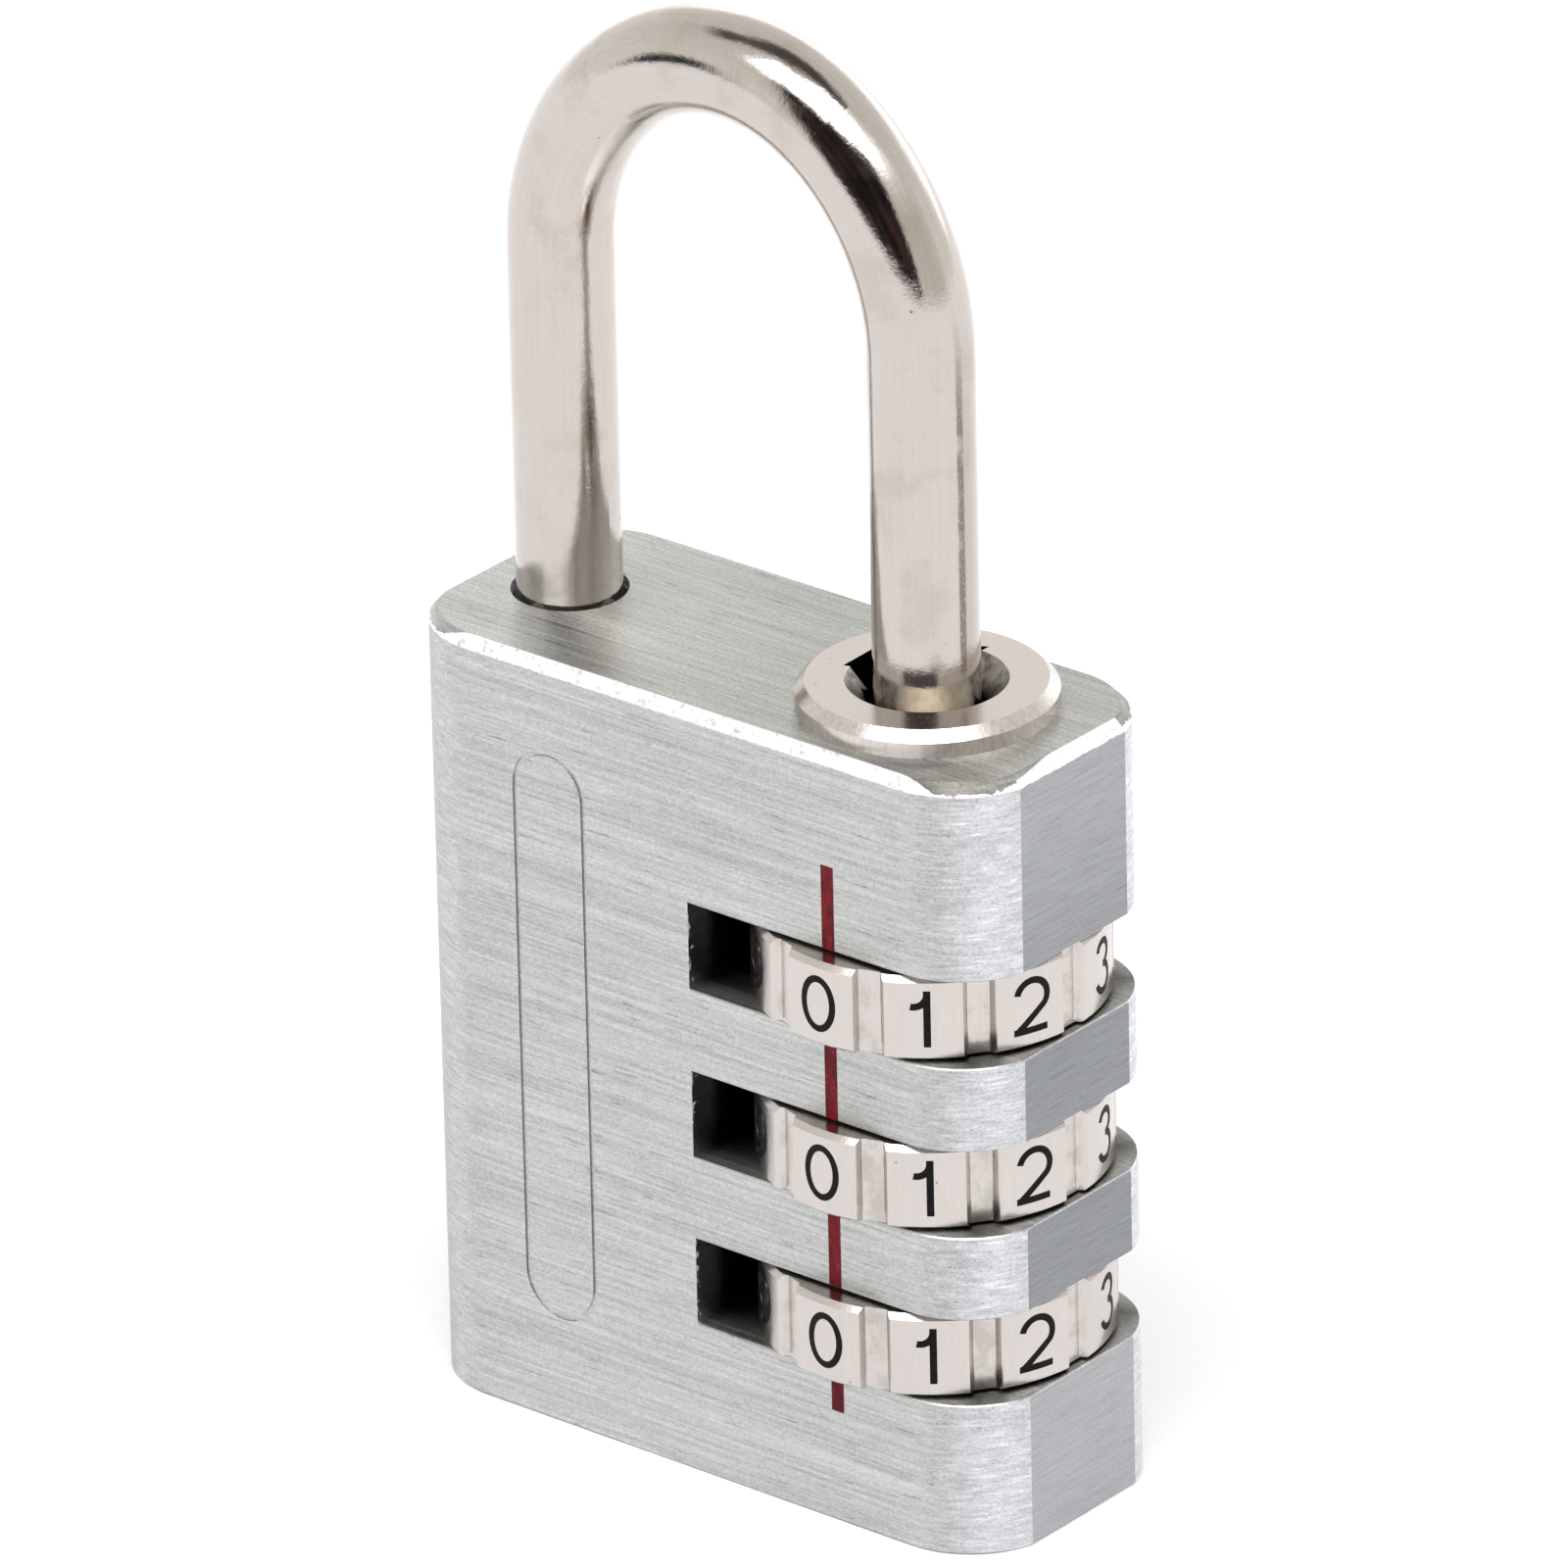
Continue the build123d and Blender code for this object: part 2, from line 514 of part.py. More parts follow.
# One sleeve, one dial and one set of enamelled digits for each level
for level, level_name in enumerate(LEVEL_NAMES):
    sleeve_base = SLEEVE_BASES[level]
    dial_base = SLOT_FLOORS[level] + DIAL_GAP
    dial_middle = dial_base + DIAL_HEIGHT / 2

    # Splined foot, plain neck and top flange, with a key slot that lets the fin through at one setting
    with BuildPart() as code_sleeve:
        with BuildSketch(at_long_leg(sleeve_base)):
            Circle(SLEEVE_RADIUS)
            with PolarLocations(SLEEVE_RADIUS, DIGIT_COUNT, start_angle=DIGIT_STEP / 2):
                Rectangle(SPLINE_GROOVE_DEPTH * 2, SPLINE_GROOVE_WIDTH, mode=Mode.SUBTRACT)
        extrude(amount=SPLINE_HEIGHT)
        with BuildSketch(at_long_leg(sleeve_base + SPLINE_HEIGHT)):
            Circle(SLEEVE_NECK_RADIUS)
        extrude(amount=SLEEVE_HEIGHT - SPLINE_HEIGHT - SLEEVE_FLANGE)
        with BuildSketch(at_long_leg(sleeve_base + SLEEVE_HEIGHT - SLEEVE_FLANGE)):
            Circle(SLEEVE_RADIUS)
        extrude(amount=SLEEVE_FLANGE)
        with BuildSketch(at_long_leg(sleeve_base)):
            Rectangle(FIN_SLOT_WIDTH, FIN_SLOT_RADIUS, align=(Align.CENTER, Align.MIN))
            Circle(FIN_SLOT_RADIUS, mode=Mode.INTERSECT)
        extrude(amount=SLEEVE_HEIGHT, mode=Mode.SUBTRACT)
        with BuildSketch(at_long_leg(sleeve_base)):
            Circle(ROD_RADIUS + ROD_CLEARANCE)
        extrude(amount=SLEEVE_HEIGHT, mode=Mode.SUBTRACT)
    finish(code_sleeve, f"code_sleeve_{level_name}")

    # Turned wheel with flutes between the digit facets and clutch teeth low in its bore
    with BuildPart() as dial:
        with BuildSketch(at_long_leg(dial_base)):
            Circle(DIAL_RADIUS)
        extrude(amount=DIAL_HEIGHT)
        chamfer(dial.edges().group_by(Axis.Z)[-1], DIAL_TOP_CHAMFER)
        chamfer(dial.edges().group_by(Axis.Z)[0], DIAL_BASE_CHAMFER)
        with BuildSketch(at_long_leg(dial_base)) as flutes:
            with PolarLocations(DIAL_RADIUS, DIGIT_COUNT, start_angle=FRONT_ANGLE + DIGIT_STEP / 2):
                Polygon(*flute_profile(), align=None)
            floor_corners = flutes.vertices().filter_by(
                lambda corner: hypot(corner.X, corner.Y) < DIAL_RADIUS - FLUTE_DEPTH / 2
            )
            fillet(floor_corners, FLUTE_FLOOR_FILLET)
        extrude(amount=DIAL_HEIGHT, mode=Mode.SUBTRACT)
        with BuildSketch(at_long_leg(dial_base)):
            Circle(BORE_RADIUS)
        extrude(amount=DIAL_HEIGHT, mode=Mode.SUBTRACT)
        with BuildSketch(at_long_leg(dial_base)):
            with PolarLocations(TOOTH_TIP_RADIUS, DIGIT_COUNT, start_angle=DIGIT_STEP / 2):
                Rectangle(TOOTH_LENGTH, TOOTH_WIDTH, align=(Align.MIN, Align.CENTER))
        extrude(amount=CLUTCH_HEIGHT)
        for digit in range(DIGIT_COUNT):
            with BuildSketch(facet_plane(dial_middle, digit, DIAL_RADIUS)):
                draw_digit(digit)
            extrude(amount=-ENGRAVING_DEPTH, mode=Mode.SUBTRACT)
    finish(dial, f"dial_{level_name}")

    # Black enamel in the engraved digits
    with BuildPart() as numerals:
        for digit in range(DIGIT_COUNT):
            with BuildSketch(facet_plane(dial_middle, digit, DIAL_RADIUS - ENGRAVING_DEPTH)):
                draw_digit(digit)
            extrude(amount=ENGRAVING_DEPTH)
        with BuildSketch(at_long_leg(dial_base)):
            Circle(DIAL_RADIUS - ENAMEL_RECESS)
        extrude(amount=DIAL_HEIGHT, mode=Mode.INTERSECT)
    finish(numerals, f"numerals_{level_name}")

for name, piece in PIECES.items():
    box = piece.bounding_box()
    heights = f"z {box.min.Z:.2f} to {box.max.Z:.2f}"
    print(f"{name}: {len(piece.solids())} solid(s), {piece.volume:.1f} mm3, {heights}")
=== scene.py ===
import bpy
from math import cos, pi, radians, sin
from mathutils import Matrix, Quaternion, Vector


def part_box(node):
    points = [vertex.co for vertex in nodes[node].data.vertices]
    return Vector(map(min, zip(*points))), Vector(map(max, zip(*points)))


# Looks of a three-dial combination padlock, in metres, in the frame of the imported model:
# +X along the width towards the dials, -Y the front face, +Z up.

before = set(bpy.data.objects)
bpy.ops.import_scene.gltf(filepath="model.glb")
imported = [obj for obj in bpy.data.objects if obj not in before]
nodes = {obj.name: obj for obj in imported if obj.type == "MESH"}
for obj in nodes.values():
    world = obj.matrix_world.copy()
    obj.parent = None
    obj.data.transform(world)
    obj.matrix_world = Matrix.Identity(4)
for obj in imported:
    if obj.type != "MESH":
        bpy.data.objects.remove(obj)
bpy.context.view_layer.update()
scene = bpy.context.scene

MM = 0.001

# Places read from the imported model
body_low, body_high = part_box("lock_body")
ring_low, ring_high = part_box("collar_bush")
shackle_low, shackle_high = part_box("shackle")
dial_low, dial_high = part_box("dial_bottom")
DIAL_AXIS_X = (ring_low.x + ring_high.x) / 2
DIAL_RADIUS = (dial_high.y - dial_low.y) / 2

# ---------------------------------------------------------------- camera

CAMERA_AZIMUTH = radians(39.575)
CAMERA_ELEVATION = radians(25.301)
CAMERA_ROLL = radians(-1.281)
CAMERA_DISTANCE = 1.01216
CAMERA_LENS = 434.5
CAMERA_AIM = Vector((0.000215, 0, 0.037865))


def make_camera():
    """Long-lens camera that looks down on the front right corner."""
    data = bpy.data.cameras.new("camera")
    data.lens = CAMERA_LENS
    data.sensor_width = 36
    data.clip_start = 0.1
    data.clip_end = 20
    camera = bpy.data.objects.new("camera", data)
    scene.collection.objects.link(camera)
    back = Vector((
        sin(CAMERA_AZIMUTH) * cos(CAMERA_ELEVATION),
        -cos(CAMERA_AZIMUTH) * cos(CAMERA_ELEVATION),
        sin(CAMERA_ELEVATION),
    ))
    camera.location = CAMERA_AIM + back * CAMERA_DISTANCE
    camera.rotation_mode = "QUATERNION"
    camera.rotation_quaternion = back.to_track_quat("Z", "Y") @ Quaternion((0, 0, 1), CAMERA_ROLL)
    scene.camera = camera


# ---------------------------------------------------------------- node graphs


class Graph:
    """A node tree with short calls for adding and joining nodes."""

    def __init__(self, tree):
        self.tree = tree

    def set(self, socket, value):
        if isinstance(value, bpy.types.NodeSocket):
            self.tree.links.new(value, socket)
        else:
            socket.default_value = value

    def add(self, kind, inputs=(), out=0, **settings):
        """Add a node and return one output. inputs maps a socket's name or number to a value or an output."""
        node = self.tree.nodes.new("ShaderNode" + kind)
        for name, value in settings.items():
            setattr(node, name, value)
        for key, value in dict(inputs).items():
            self.set(node.inputs[key], value)
        return node.outputs[out]

    def math(self, operation, *values):
        return self.add("Math", enumerate(values), operation=operation)

    def chain(self, operation, values):
        """One operation applied along a row of numbers."""
        result = values[0]
        for value in values[1:]:
            result = self.math(operation, result, value)
        return result

    def times(self, *values):
        return self.chain("MULTIPLY", values)

    def plus(self, *values):
        return self.chain("ADD", values)

    def minus(self, a, b):
        return self.math("SUBTRACT", a, b)

    def rest(self, share):
        """What a share leaves of one."""
        return self.minus(1, share)

    def either(self, a, b):
        """Mask of what is in one mask or the other."""
        return self.math("MAXIMUM", a, b)

    def swing(self, noise, amount):
        """A noise moved to zero on average and scaled."""
        return self.times(self.minus(noise, 0.5), amount)

    def absolute(self, value):
        return self.math("ABSOLUTE", value)

    def vector(self, operation, *values, out=0):
        return self.add("VectorMath", enumerate(values), out=out, operation=operation)

    def parts(self, vector):
        """The three numbers of a vector."""
        node = self.tree.nodes.new("ShaderNodeSeparateXYZ")
        self.set(node.inputs[0], vector)
        return tuple(node.outputs)

    def join(self, x, y, z):
        return self.add("CombineXYZ", {0: x, 1: y, 2: z})

    def ramp(self, value, low, high, to_low=0.0, to_high=1.0):
        """Smooth step of value from low..high to to_low..to_high."""
        inputs = {"Value": value, "From Min": low, "From Max": high, "To Min": to_low, "To Max": to_high}
        return self.add("MapRange", inputs, interpolation_type="SMOOTHSTEP")

    def above(self, value, limit):
        return self.math("GREATER_THAN", value, limit)

    def mix(self, share, a, b):
        """Blend of two colours or vectors."""
        return self.add("Mix", {0: share, 6: a, 7: b}, out=2, data_type="RGBA")

    def blend(self, share, a, b):
        """Blend of two numbers."""
        return self.add("Mix", {0: share, 2: a, 3: b}, out=0, data_type="FLOAT")

    def shade(self, colour, factor):
        """A colour made lighter or darker by a factor."""
        return self.vector("MULTIPLY", colour, self.join(factor, factor, factor))

    def noise(self, place, scale, detail=2.0, roughness=0.5):
        """Fractal noise from about 0.2 to 0.8, with scale in features per metre."""
        return self.add("TexNoise", {"Vector": place, "Scale": scale, "Detail": detail, "Roughness": roughness})

    def stretched(self, place, x, y, z):
        """Coordinates that vary slowly along an axis with a small factor, so that noise runs along it."""
        return self.vector("MULTIPLY", place, (x, y, z))

    def spots(self, place, scale, radius, share):
        """Mask of small round spots: one in each chosen cell, share of the cells chosen."""
        cells = self.tree.nodes.new("ShaderNodeTexVoronoi")
        self.set(cells.inputs["Vector"], place)
        self.set(cells.inputs["Scale"], scale)
        chosen = self.above(self.parts(cells.outputs["Color"])[0], 1 - share)
        return self.times(self.ramp(cells.outputs["Distance"], radius, radius / 2), chosen)

    def bump(self, height, distance, normal=None):
        inputs = {"Height": height, "Distance": distance}
        if normal is not None:
            inputs["Normal"] = normal
        return self.add("Bump", inputs)


class Surface(Graph):
    """A material with its shader, and the object's own coordinates and normal."""

    def __init__(self, name, metallic=1.0, **constants):
        self.material = bpy.data.materials.new(name)
        self.material.use_nodes = True
        super().__init__(self.material.node_tree)
        self.shader = self.tree.nodes["Principled BSDF"]
        self.shader.inputs["Metallic"].default_value = metallic
        for socket, value in constants.items():
            self.shader.inputs[socket.replace("_", " ")].default_value = value
        self.place = self.add("TexCoord", out="Object")
        self.normal = self.add("TexCoord", out="Normal")

    def from_dial_axis(self):
        """Vector from the dials' axis to the place, and its length."""
        x, y = self.parts(self.place)[:2]
        spoke = self.join(self.minus(x, DIAL_AXIS_X), y, 0)
        return spoke, self.vector("LENGTH", spoke, out=1)

    def finish(self, colour, roughness, normal, **others):
        self.set(self.shader.inputs["Base Color"], colour)
        self.set(self.shader.inputs["Roughness"], roughness)
        self.set(self.shader.inputs["Normal"], normal)
        for socket, value in others.items():
            self.set(self.shader.inputs[socket], value)
        return self.material


# ---------------------------------------------------------------- studio

SOFTBOX = (8.0, 8.0, 8.15, 1)
WALL_LOW = (1.06, 1.05, 1.01, 1)
WALL_HIGH = (0.86, 0.85, 0.81, 1)
FLOOR_SIZE = 6
FLOOR_GLOW = 0.13


def make_world():
    """Studio as a pale tent: a large softbox above the front right, and a dark gap where the camera stands."""
    world = bpy.data.worlds.new("studio")
    world.use_nodes = True
    scene.world = world
    graph = Graph(world.node_tree)
    direction = graph.add("TexCoord", out="Generated")
    x, y, z = graph.parts(direction)
    elevation = graph.times(graph.math("ARCSINE", z), 180 / pi)
    azimuth = graph.times(graph.math("ARCTAN2", x, y), 180 / pi)

    def patch(middle, half_width, low, high, soft):
        """Mask of a patch of the tent about a compass direction (0 is +Y, 90 is +X), in degrees."""
        turn = graph.math("WRAP", graph.minus(azimuth, middle), 180, -180)
        side = graph.ramp(graph.absolute(turn), half_width + soft, half_width - soft)
        above = graph.ramp(elevation, low - soft, low + soft)
        below = graph.ramp(elevation, high + soft, high - soft)
        return graph.times(side, above, below)

    figures = graph.ramp(graph.noise(direction, 7, 2), 0.52, 0.62)
    gap = graph.mix(figures, (0.012, 0.011, 0.012, 1), (0.11, 0.05, 0.036, 1))
    colour = graph.mix(graph.ramp(elevation, 0, 60), WALL_LOW, WALL_HIGH)
    for mask, tone in (
        (patch(0, 200, 82, 95, 3), (0.46, 0.42, 0.40, 1)),  # ceiling
        (patch(-15, 98, 66, 88, 4), (0.11, 0.092, 0.085, 1)),  # its dark beam
        (patch(-97, 17, 52, 72, 5), (0.14, 0.12, 0.115, 1)),  # the beam's low end
        (patch(92, 22, 40, 60, 9), (1.5, 1.48, 1.42, 1)),  # glow beside the softbox
        (patch(149, 58, 49, 75, 8), SOFTBOX),
        (patch(-12, 32, -24, 18, 8), (2.0, 2.0, 2.0, 1)),  # bright backdrop
        (patch(90, 28, -30, 34, 10), (0.80, 0.78, 0.72, 1)),  # duller screen on the right
        (patch(155.5, 37, -14, 48, 2), gap),
        (patch(-137, 9, -19, 12, 2), (0.02, 0.024, 0.028, 1)),  # small dark stand at the front left
    ):
        colour = graph.mix(mask, colour, tone)
    graph.set(world.node_tree.nodes["Background"].inputs["Color"], colour)


def floor_paper():
    """Matt white paper with a faint tooth, lit a little from below as on a light table."""
    s = Surface("floor_paper", metallic=0.0, Emission_Color=(1, 1, 1, 1), Emission_Strength=FLOOR_GLOW)
    tooth = s.noise(s.place, 900, 3)
    colour = s.mix(s.ramp(tooth, 0.3, 0.7), (0.725, 0.73, 0.74, 1), (0.735, 0.74, 0.75, 1))
    return s.finish(colour, 0.75, s.bump(tooth, 0.02 * MM))


def make_floor():
    bpy.ops.mesh.primitive_plane_add(size=FLOOR_SIZE)
    floor = bpy.context.object
    floor.name = "floor"
    floor.data.materials.append(floor_paper())


# ---------------------------------------------------------------- body and plugs

TOP_CHAMFER = 0.6 * MM
CORNER_START_Y = 4.4 * MM  # half the width of the end's flat, between the rounded corners
PLAIN_BAND = 3 * MM  # band at the top and at the base without slots
WALL_REACH = 2 * MM  # the walls that the slots end on are nearer than this to the middle
SLOT_SHADE_DEPTH = 2.4 * MM
BURR_DEPTH = 0.45 * MM
WEB_LOW = (9 * MM, 14 * MM)  # heights between which the end turns from the base's tone to the webs' darker painted shade
WEB_HIGH = (44 * MM, 28 * MM)  # and back again, from the top down
ALONG = 0.02  # how much slower the brushing varies along its own direction
STEEP = 0.06  # a part of the normal above this belongs to a face that turns that way


def brushed_aluminium():
    """Body: brushed faces, chamfers and burrs painted bright as highlights, fine dark scratches, painted shade in
    the slots.
    """
    s = Surface("brushed_aluminium", Anisotropic=0.85)
    x, y, z = s.parts(s.place)
    facing_x = s.parts(s.normal)[0]
    nx, ny, nz = (s.absolute(part) for part in s.parts(s.normal))
    on_end = s.above(nx, 0.98)
    off_end = s.rest(on_end)
    on_top = s.above(nz, 0.9)

    # Grain: along X on the faces and the top, along Y on the ends, in short dashes round the corners
    along = s.vector("MULTIPLY", s.place, s.mix(on_end, (ALONG, 1, 1, 1), (1, 3 * ALONG, 1, 1)))
    dashes = s.noise(s.stretched(s.place, 0.14, 0.14, 1), 5200, 2, 0.6)
    rounding = s.times(s.ramp(nx, 0.02, 0.30), off_end)
    grain = s.blend(rounding, s.noise(along, 5200, 2, 0.6), dashes)
    bands = s.noise(along, 900, 3, 0.5)
    fine = s.noise(s.stretched(s.place, 0.45, 0.45, 1), 12000, 1)
    cloud = s.noise(s.place, 160, 3)
    scratch = s.ramp(s.noise(s.stretched(along, 5, 1, 1), 5200, 1), 0.66, 0.76)
    glint = s.ramp(dashes, 0.64, 0.76)
    torn = s.noise(s.place, 2600, 3, 0.6)

    # Chamfers: cut edges, a little torn, with their highlight painted into the colour as near white. Round the
    # corners only a torn line of painted highlight remains, and the rest of the chamfer is shaded as part of the
    # top.
    lip = s.minus(z, body_high.z - TOP_CHAMFER)
    slope = s.times(s.above(nz, 0.3), s.above(0.97, nz), s.above(lip, -0.1 * MM))
    nibble = s.times(s.above(s.plus(lip, s.times(torn, 0.3 * MM)), 0.08 * MM), s.above(0.9, nz))
    corner = s.ramp(s.math("MINIMUM", nx, ny), 0.01, 0.34)
    on_end_slope = s.times(s.above(STEEP, ny), s.ramp(y, -1 * MM, -CORNER_START_Y, 1.0, 0.55))
    width = s.plus(on_end_slope, s.above(ny, STEEP))
    torn_width = s.times(s.minus(torn, 0.36), TOP_CHAMFER)
    kept = s.above(s.blend(corner, s.times(width, TOP_CHAMFER), torn_width), lip)
    edge = s.times(s.either(slope, nibble), kept, s.ramp(torn, 0.66, 0.60, 0.45))
    flattened = s.times(slope, s.rest(kept))
    normal = s.mix(flattened, s.normal, (0, 0, 1, 1))
    on_plane = s.either(on_top, flattened)

    # Slots: darkened away from the faces as painted shade, with burrs painted bright as highlights where their end
    # walls meet the faces
    depth = s.math("MINIMUM", s.minus(body_high.y, s.absolute(y)), s.minus(body_high.x, x))
    inner_height = s.times(s.above(z, body_low.z + PLAIN_BAND), s.above(body_high.z - PLAIN_BAND, z))
    on_wall = s.times(on_end, s.above(WALL_REACH, s.absolute(x)))
    inside = s.times(s.either(on_top, on_wall), inner_height)
    # painted shade: the slots darker with depth from the faces
    slot_shade = s.times(inside, s.ramp(depth, 0, SLOT_SHADE_DEPTH, 0.15, 0.80))
    burr = s.times(on_wall, inner_height, s.above(s.ramp(torn, 0.50, 0.74, 0, BURR_DEPTH), depth))
    bright = s.either(edge, burr)

    # Tones, much of them painted light: painted shade makes the ends greyer, most of all between the slots, and the
    # far left corners darker; a painted sheen makes the corners at the dials brighter and the top lighter towards
    # the left
    turned = s.times(s.ramp(facing_x, 0.38, 0.76), off_end)
    tone = s.mix(turned, (0.545, 0.55, 0.542, 1), (0.63, 0.64, 0.67, 1))
    # painted shade: corners turned away from the dials darker
    tone = s.shade(tone, s.ramp(facing_x, -0.3, -0.8, 1.0, 0.78))
    # painted shade: the ends greyer than the faces, and darker still on the webs between the slots
    web_shade = s.times(s.above(x, 0), s.ramp(z, *WEB_LOW), s.ramp(z, *WEB_HIGH, 0.25, 1.0))
    tone = s.mix(on_end, tone, s.mix(web_shade, (0.42, 0.43, 0.445, 1), (0.29, 0.30, 0.32, 1)))
    # painted sheen: the top lighter towards the left
    top_sheen_tone = s.mix(s.ramp(x, 0, -14 * MM), (0.525, 0.53, 0.515, 1), (0.60, 0.61, 0.60, 1))
    tone = s.mix(on_plane, tone, top_sheen_tone)
    marks = s.plus(
        s.swing(grain, 0.98), s.swing(bands, 0.22), s.swing(fine, 0.70), s.swing(cloud, 0.12),
        s.times(glint, s.blend(turned, 0.06, 0.30)), s.times(scratch, -0.28),
    )
    light = s.plus(1, s.times(marks, s.blend(on_end, 1.0, 0.65)))
    colour = s.shade(tone, s.times(light, s.rest(slot_shade)))
    # painted highlight: the chamfers' torn lines and the burrs coloured near white
    colour = s.mix(bright, colour, (0.92, 0.925, 0.93, 1))

    roughness = s.blend(edge, s.plus(0.40, s.swing(grain, 0.25)), 0.55)
    height = s.plus(grain, s.times(fine, 0.3), s.times(torn, edge, 2.5), s.times(scratch, -0.4))
    return s.finish(
        colour, roughness, s.bump(height, 0.008 * MM, normal),
        Tangent=s.join(0, on_plane, s.rest(on_plane)), Metallic=s.rest(s.times(bright, 0.5)),
    )


def turned_aluminium():
    """Plugs: faced on a lathe, a little duller than the body."""
    s = Surface("turned_aluminium", Anisotropic=0.4)
    grain = s.noise(s.place, 2500, 4, 0.6)
    light = s.plus(1, s.swing(grain, 0.3))
    return s.finish(s.shade((0.58, 0.585, 0.58), light), s.blend(grain, 0.3, 0.5), s.bump(grain, 0.008 * MM))


# ---------------------------------------------------------------- nickel

STRIPE_TOP = 70 * MM  # height at which the dark line of the long leg, part rub and part painted reflection, starts to show
STRIPE_FULL = 62 * MM
STRIPE_FOOT = 2 * MM  # it fades out over this height above the collar
LINE_OFFSET = 0.12  # how far the dark line lies towards the front, as a part of the normal


def arch_distance(s):
    """Distance from the middle of the arch, which is nearly constant along the shackle's rod."""
    x, y, z = s.parts(s.place)
    middle = (shackle_low.x + shackle_high.x) / 2
    spring = shackle_high.z - (shackle_high.x - shackle_low.x) / 2
    across = s.absolute(s.minus(x, middle))
    rise = s.math("MAXIMUM", s.minus(z, spring), 0)
    q = s.math("SQRT", s.plus(s.math("POWER", across, 2), s.math("POWER", rise, 2)))
    return s.join(q, y, s.times(s.plus(z, x), 0.03))


def drawn_nickel():
    """Shackle: bright plated rod with drawing lines, a fine orange peel, pits, smudges and a dull line outside, part
    rub and part painted reflection.
    """
    s = Surface("drawn_nickel")
    x, y, z = s.parts(s.place)
    nx, ny = s.parts(s.normal)[:2]
    lines = s.noise(arch_distance(s), 5200, 4, 0.6)
    peel = s.noise(s.place, 6200, 3, 0.65)
    wave = s.noise(s.place, 900, 2)
    smudge = s.ramp(s.noise(s.place, 260, 4, 0.6), 0.50, 0.68)
    pits = s.spots(s.place, 950, 0.10, 0.15)
    specks = s.ramp(s.noise(s.place, 5200, 1), 0.74, 0.82)

    # Dark line down the outer side of the long leg: partly where the rod has rubbed, partly a painted reflection
    reach = s.times(s.ramp(z, STRIPE_TOP, STRIPE_FULL), s.ramp(z, ring_high.z, ring_high.z + STRIPE_FOOT))
    stripe_reach = s.times(s.above(nx, 0.7), s.above(x, 0), reach)
    off = s.plus(ny, s.plus(LINE_OFFSET, s.times(wave, 0.03)))
    line = s.times(s.ramp(s.absolute(off), 0.11, 0.05), s.ramp(peel, 0.25, 0.50), s.ramp(wave, 0.25, 0.5, 0.4))
    beside = s.times(s.ramp(off, -0.01, 0.03), s.ramp(off, 0.7, 0.1))
    rub_and_reflection = s.times(stripe_reach, s.either(s.times(beside, 0.22), line))

    light = s.plus(1, s.swing(lines, 0.16), s.swing(peel, 0.16))
    light = s.times(light, s.rest(s.times(pits, 0.45)), s.rest(s.times(specks, 0.18)))
    tone = s.mix(smudge, (0.550, 0.505, 0.474, 1), (0.508, 0.455, 0.409, 1))
    # partly a rub and partly a painted reflection: the dark line down the long leg
    tone = s.mix(rub_and_reflection, tone, (0.22, 0.18, 0.15, 1))
    roughness = s.plus(0.085, s.times(s.ramp(lines, 0.4, 0.75), 0.05), s.times(s.plus(smudge, rub_and_reflection), 0.06))
    height = s.plus(peel, s.times(lines, 0.30), s.times(wave, 2.0), s.times(pits, -1.2))
    return s.finish(s.shade(tone, light), roughness, s.bump(height, 0.0075 * MM))


MOUTH_RADIUS = 4.45 * MM
MOUTH_LIP = 0.8 * MM
MOUTH_DEPTH = 1.8 * MM
SPIGOT_REACH = 5.5 * MM  # level faces nearer than this to the axis, off the top, are inside
POCKET_DIRECTION = radians(142)
POCKET_SIDE = (cos(POCKET_DIRECTION), sin(POCKET_DIRECTION), 0)  # towards the pocket, from the dials' axis


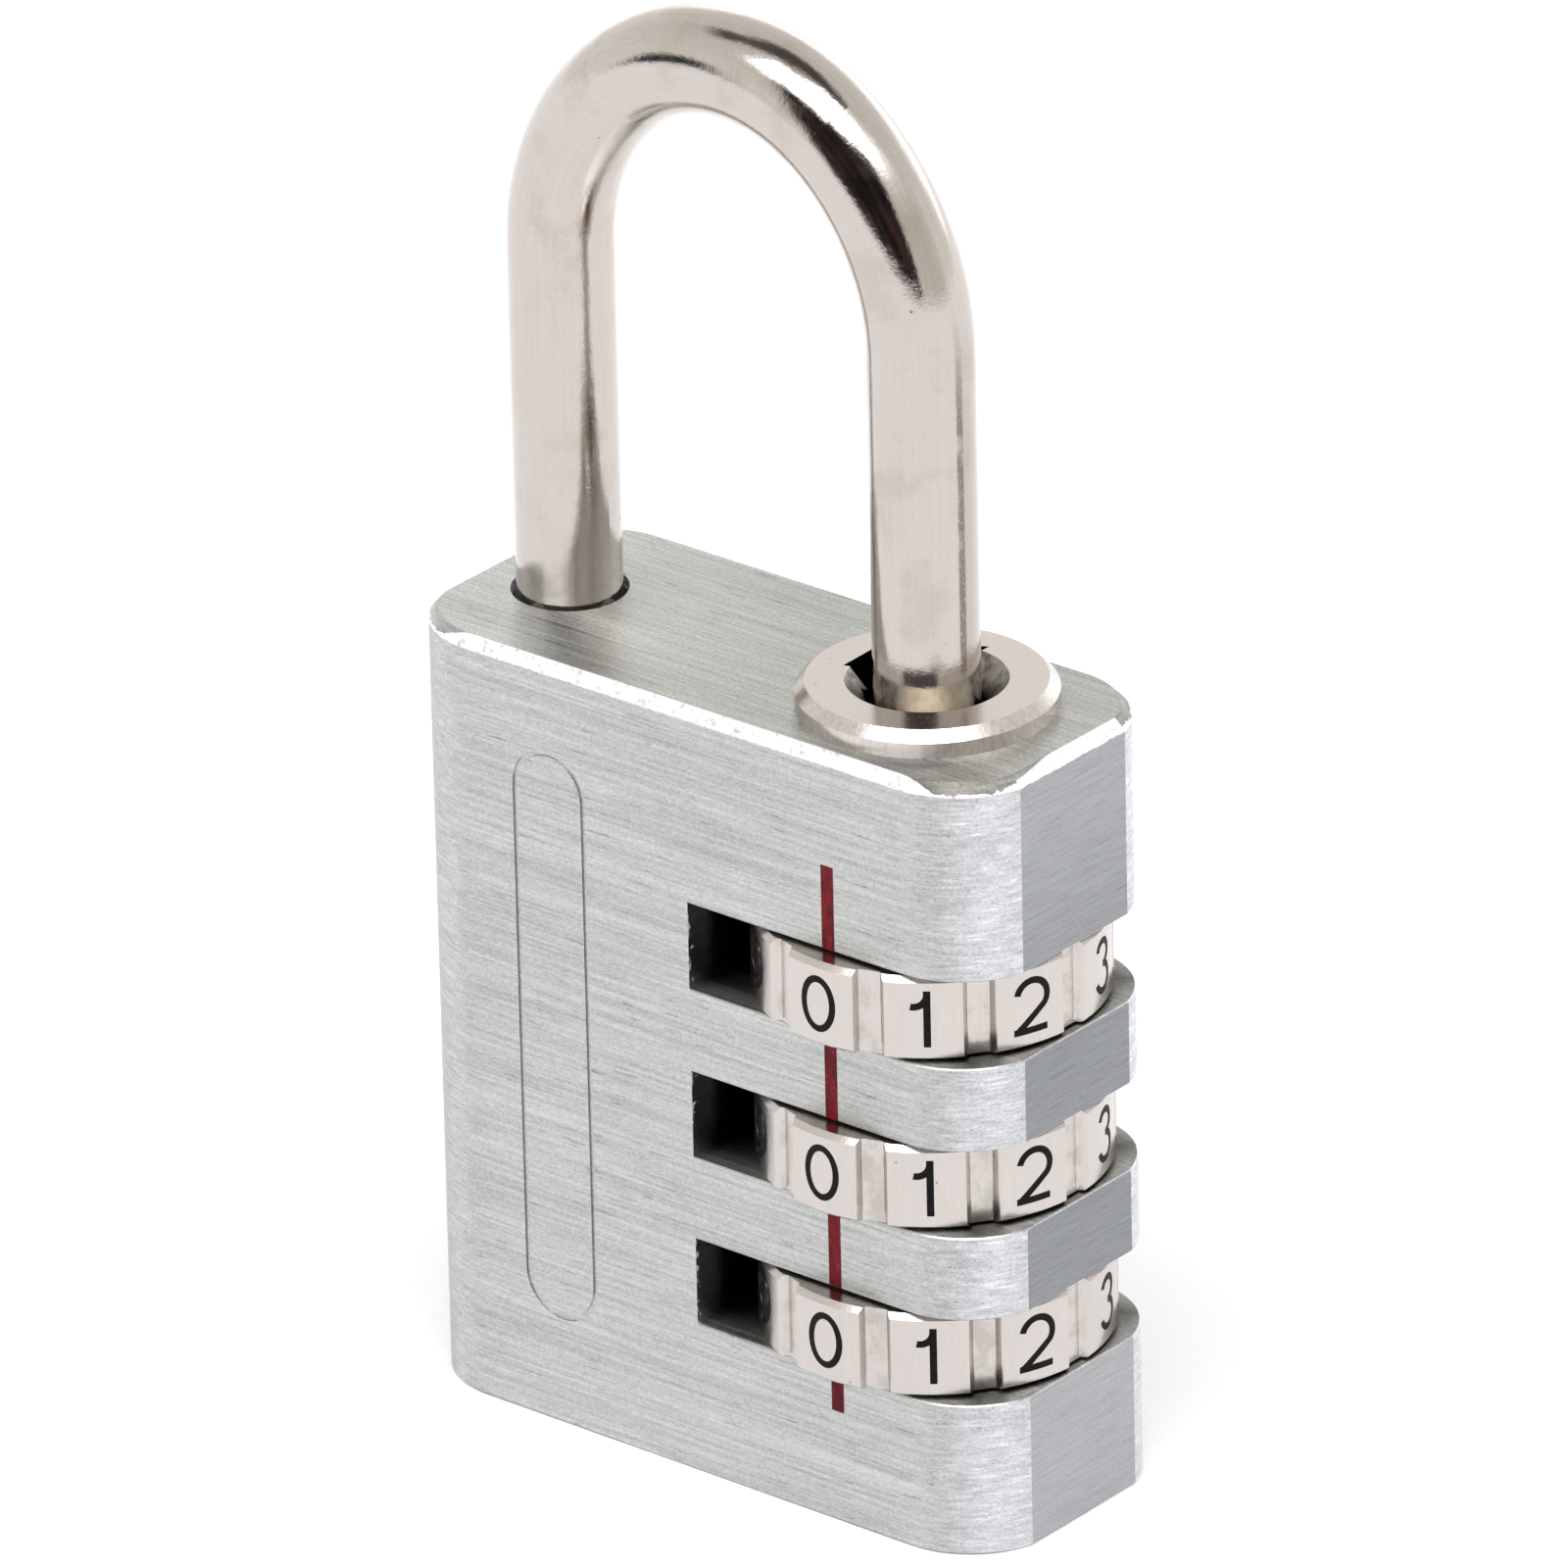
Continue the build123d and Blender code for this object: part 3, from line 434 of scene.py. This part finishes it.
def turned_nickel():
    """Collar: turned and plated, with hatching down its wall and small stains; its mouth is dull bronze, greyer away
    from the front, with painted shade black in its pocket and depth.
    """
    s = Surface("turned_nickel")
    z = s.parts(s.place)[2]
    nz = s.parts(s.normal)[2]
    spoke, ring = s.from_dial_axis()
    hatch = s.noise(s.stretched(s.place, 1, 1, 0.06), 5200, 3, 0.6)
    turning = s.noise(s.join(ring, s.times(z, 0.5), 0), 6000, 3)
    peel = s.noise(s.place, 4200, 3, 0.6)
    stains = s.either(s.spots(s.place, 420, 0.14, 0.16), s.ramp(s.noise(s.place, 900, 3, 0.7), 0.66, 0.76))
    on_top = s.above(nz, 0.9)

    # The mouth was never plated: bronze on its cone, greyer and darker away from the front, and black as painted
    # shade in the pocket and below
    mouth = s.times(s.above(MOUTH_RADIUS, ring), s.above(ring_high.z - 0.02 * MM, z))
    mouth = s.either(mouth, s.times(s.above(0.3, s.absolute(nz)), s.above(SPIGOT_REACH, ring)))
    toward = s.math("DIVIDE", s.vector("DOT_PRODUCT", spoke, POCKET_SIDE, out=1), ring)
    pocket = s.times(s.above(0.3, nz), s.above(toward, 0.5))
    mouth_shade = s.times(mouth, s.either(pocket, s.ramp(z, ring_high.z - MOUTH_LIP, ring_high.z - MOUTH_DEPTH)))
    mottle = s.ramp(s.noise(s.place, 1300, 4, 0.65), 0.35, 0.65)
    bronze = s.mix(mottle, (0.62, 0.58, 0.48, 1), (0.78, 0.735, 0.62, 1))
    away_grey = s.mix(mottle, (0.17, 0.155, 0.145, 1), (0.43, 0.40, 0.37, 1))
    bronze = s.mix(s.ramp(toward, -0.75, -0.45), bronze, away_grey)

    light = s.times(s.plus(1, s.swing(hatch, s.blend(on_top, 0.60, 0.12))), s.rest(s.times(stains, 0.35)))
    tone = s.mix(stains, (0.605, 0.555, 0.52, 1), (0.44, 0.37, 0.31, 1))
    # painted shade: the mouth black in the pocket and deep down
    colour = s.mix(mouth_shade, s.mix(mouth, s.shade(tone, light), bronze), (0.012, 0.011, 0.011, 1))
    roughness = s.plus(0.21, s.times(s.ramp(peel, 0.4, 0.8), 0.08), s.times(mouth, 0.18))
    height = s.plus(
        s.times(hatch, s.blend(on_top, 0.5, 0.1)), s.times(peel, 0.6), s.times(turning, s.blend(on_top, 0.05, 0.35))
    )
    return s.finish(colour, roughness, s.bump(height, 0.006 * MM))


FLUTE_START = 0.08 * MM  # depths below the dial's rim between which the soil sets in
FLUTE_DEPTH = 0.5 * MM


def dial_nickel():
    """Dials: milled facets with fine lines, grey soiling where the flutes hold it."""
    s = Surface("dial_nickel")
    ring = s.from_dial_axis()[1]
    lines = s.noise(s.stretched(s.place, 1, 1, 0.08), 6500, 3, 0.6)
    peel = s.noise(s.place, 3000, 3, 0.6)
    pits = s.spots(s.place, 1100, 0.10, 0.06)
    sunk = s.ramp(ring, DIAL_RADIUS - FLUTE_START, DIAL_RADIUS - FLUTE_DEPTH)
    soil = s.times(sunk, s.ramp(s.noise(s.place, 620, 4, 0.65), 0.46, 0.62))

    light = s.times(s.plus(1, s.swing(lines, 0.16)), s.rest(s.times(pits, 0.5)), s.rest(s.times(soil, 0.08)))
    tone = s.mix(soil, (0.590, 0.548, 0.520, 1), (0.53, 0.49, 0.455, 1))
    roughness = s.plus(0.18, s.times(s.minus(peel, 0.3), 0.12))
    height = s.plus(s.times(lines, 0.5), peel)
    return s.finish(s.shade(tone, light), roughness, s.bump(height, 0.008 * MM))


# ---------------------------------------------------------------- enamel and inner parts


def digit_enamel():
    """Black fill of the digits, matt, with a few dusty grains."""
    s = Surface("digit_enamel", metallic=0.0, Specular_IOR_Level=0.12)
    grain = s.noise(s.place, 5000, 3)
    colour = s.mix(s.ramp(grain, 0.55, 0.8), (0.004, 0.003, 0.003, 1), (0.020, 0.015, 0.014, 1))
    return s.finish(colour, s.blend(grain, 0.35, 0.65), s.bump(grain, 0.012 * MM))


def index_enamel():
    """Red fill of the index line, brushed by hand and thin in places."""
    s = Surface("index_enamel", metallic=0.0, Specular_IOR_Level=0.15)
    strokes = s.noise(s.stretched(s.place, 1, 1, 0.25), 2600, 3, 0.6)
    thin = s.ramp(s.noise(s.place, 3800, 2), 0.62, 0.74)
    colour = s.mix(s.ramp(strokes, 0.35, 0.65), (0.085, 0.003, 0.006, 1), (0.205, 0.005, 0.012, 1))
    colour = s.mix(s.times(thin, 0.5), colour, (0.36, 0.08, 0.08, 1))
    return s.finish(colour, s.blend(strokes, 0.35, 0.6), s.bump(strokes, 0.015 * MM))


def inner_metal(name, tone, dull, scale, along):
    """Metal of a hidden piece: a tone with fine lines, faint clouds and oxide spots."""
    s = Surface(name)
    lines = s.noise(s.stretched(s.place, 1, 1, along), scale, 4, 0.6)
    cloud = s.noise(s.place, 350, 3)
    spots = s.ramp(s.noise(s.place, 1500, 3, 0.6), 0.62, 0.74)
    light = s.plus(1, s.swing(lines, 0.3), s.swing(cloud, 0.25))
    colour = s.shade(s.mix(s.times(spots, 0.5), (*tone, 1), (*dull, 1)), light)
    roughness = s.plus(s.blend(lines, 0.22, 0.38), s.times(spots, 0.15))
    return s.finish(colour, roughness, s.bump(lines, 0.008 * MM))


make_camera()
make_world()
make_floor()

LOOKS = {
    "body_aluminium": brushed_aluminium(),
    "plug_aluminium": turned_aluminium(),
    "shackle_nickel": drawn_nickel(),
    "collar_nickel": turned_nickel(),
    "dial_nickel": dial_nickel(),
    "digit_enamel": digit_enamel(),
    "index_enamel": index_enamel(),
    "sleeve_brass": inner_metal("sleeve_brass", (0.72, 0.50, 0.24), (0.35, 0.22, 0.10), 3500, 4),
    "spring_steel": inner_metal("spring_steel", (0.52, 0.51, 0.50), (0.25, 0.22, 0.20), 6000, 1),
    "spacer_steel": inner_metal("spacer_steel", (0.56, 0.55, 0.54), (0.28, 0.25, 0.22), 3500, 4),
}
for piece in nodes.values():
    for place in piece.material_slots:
        place.material = LOOKS[place.material.name]

scene.view_settings.view_transform = "Standard"
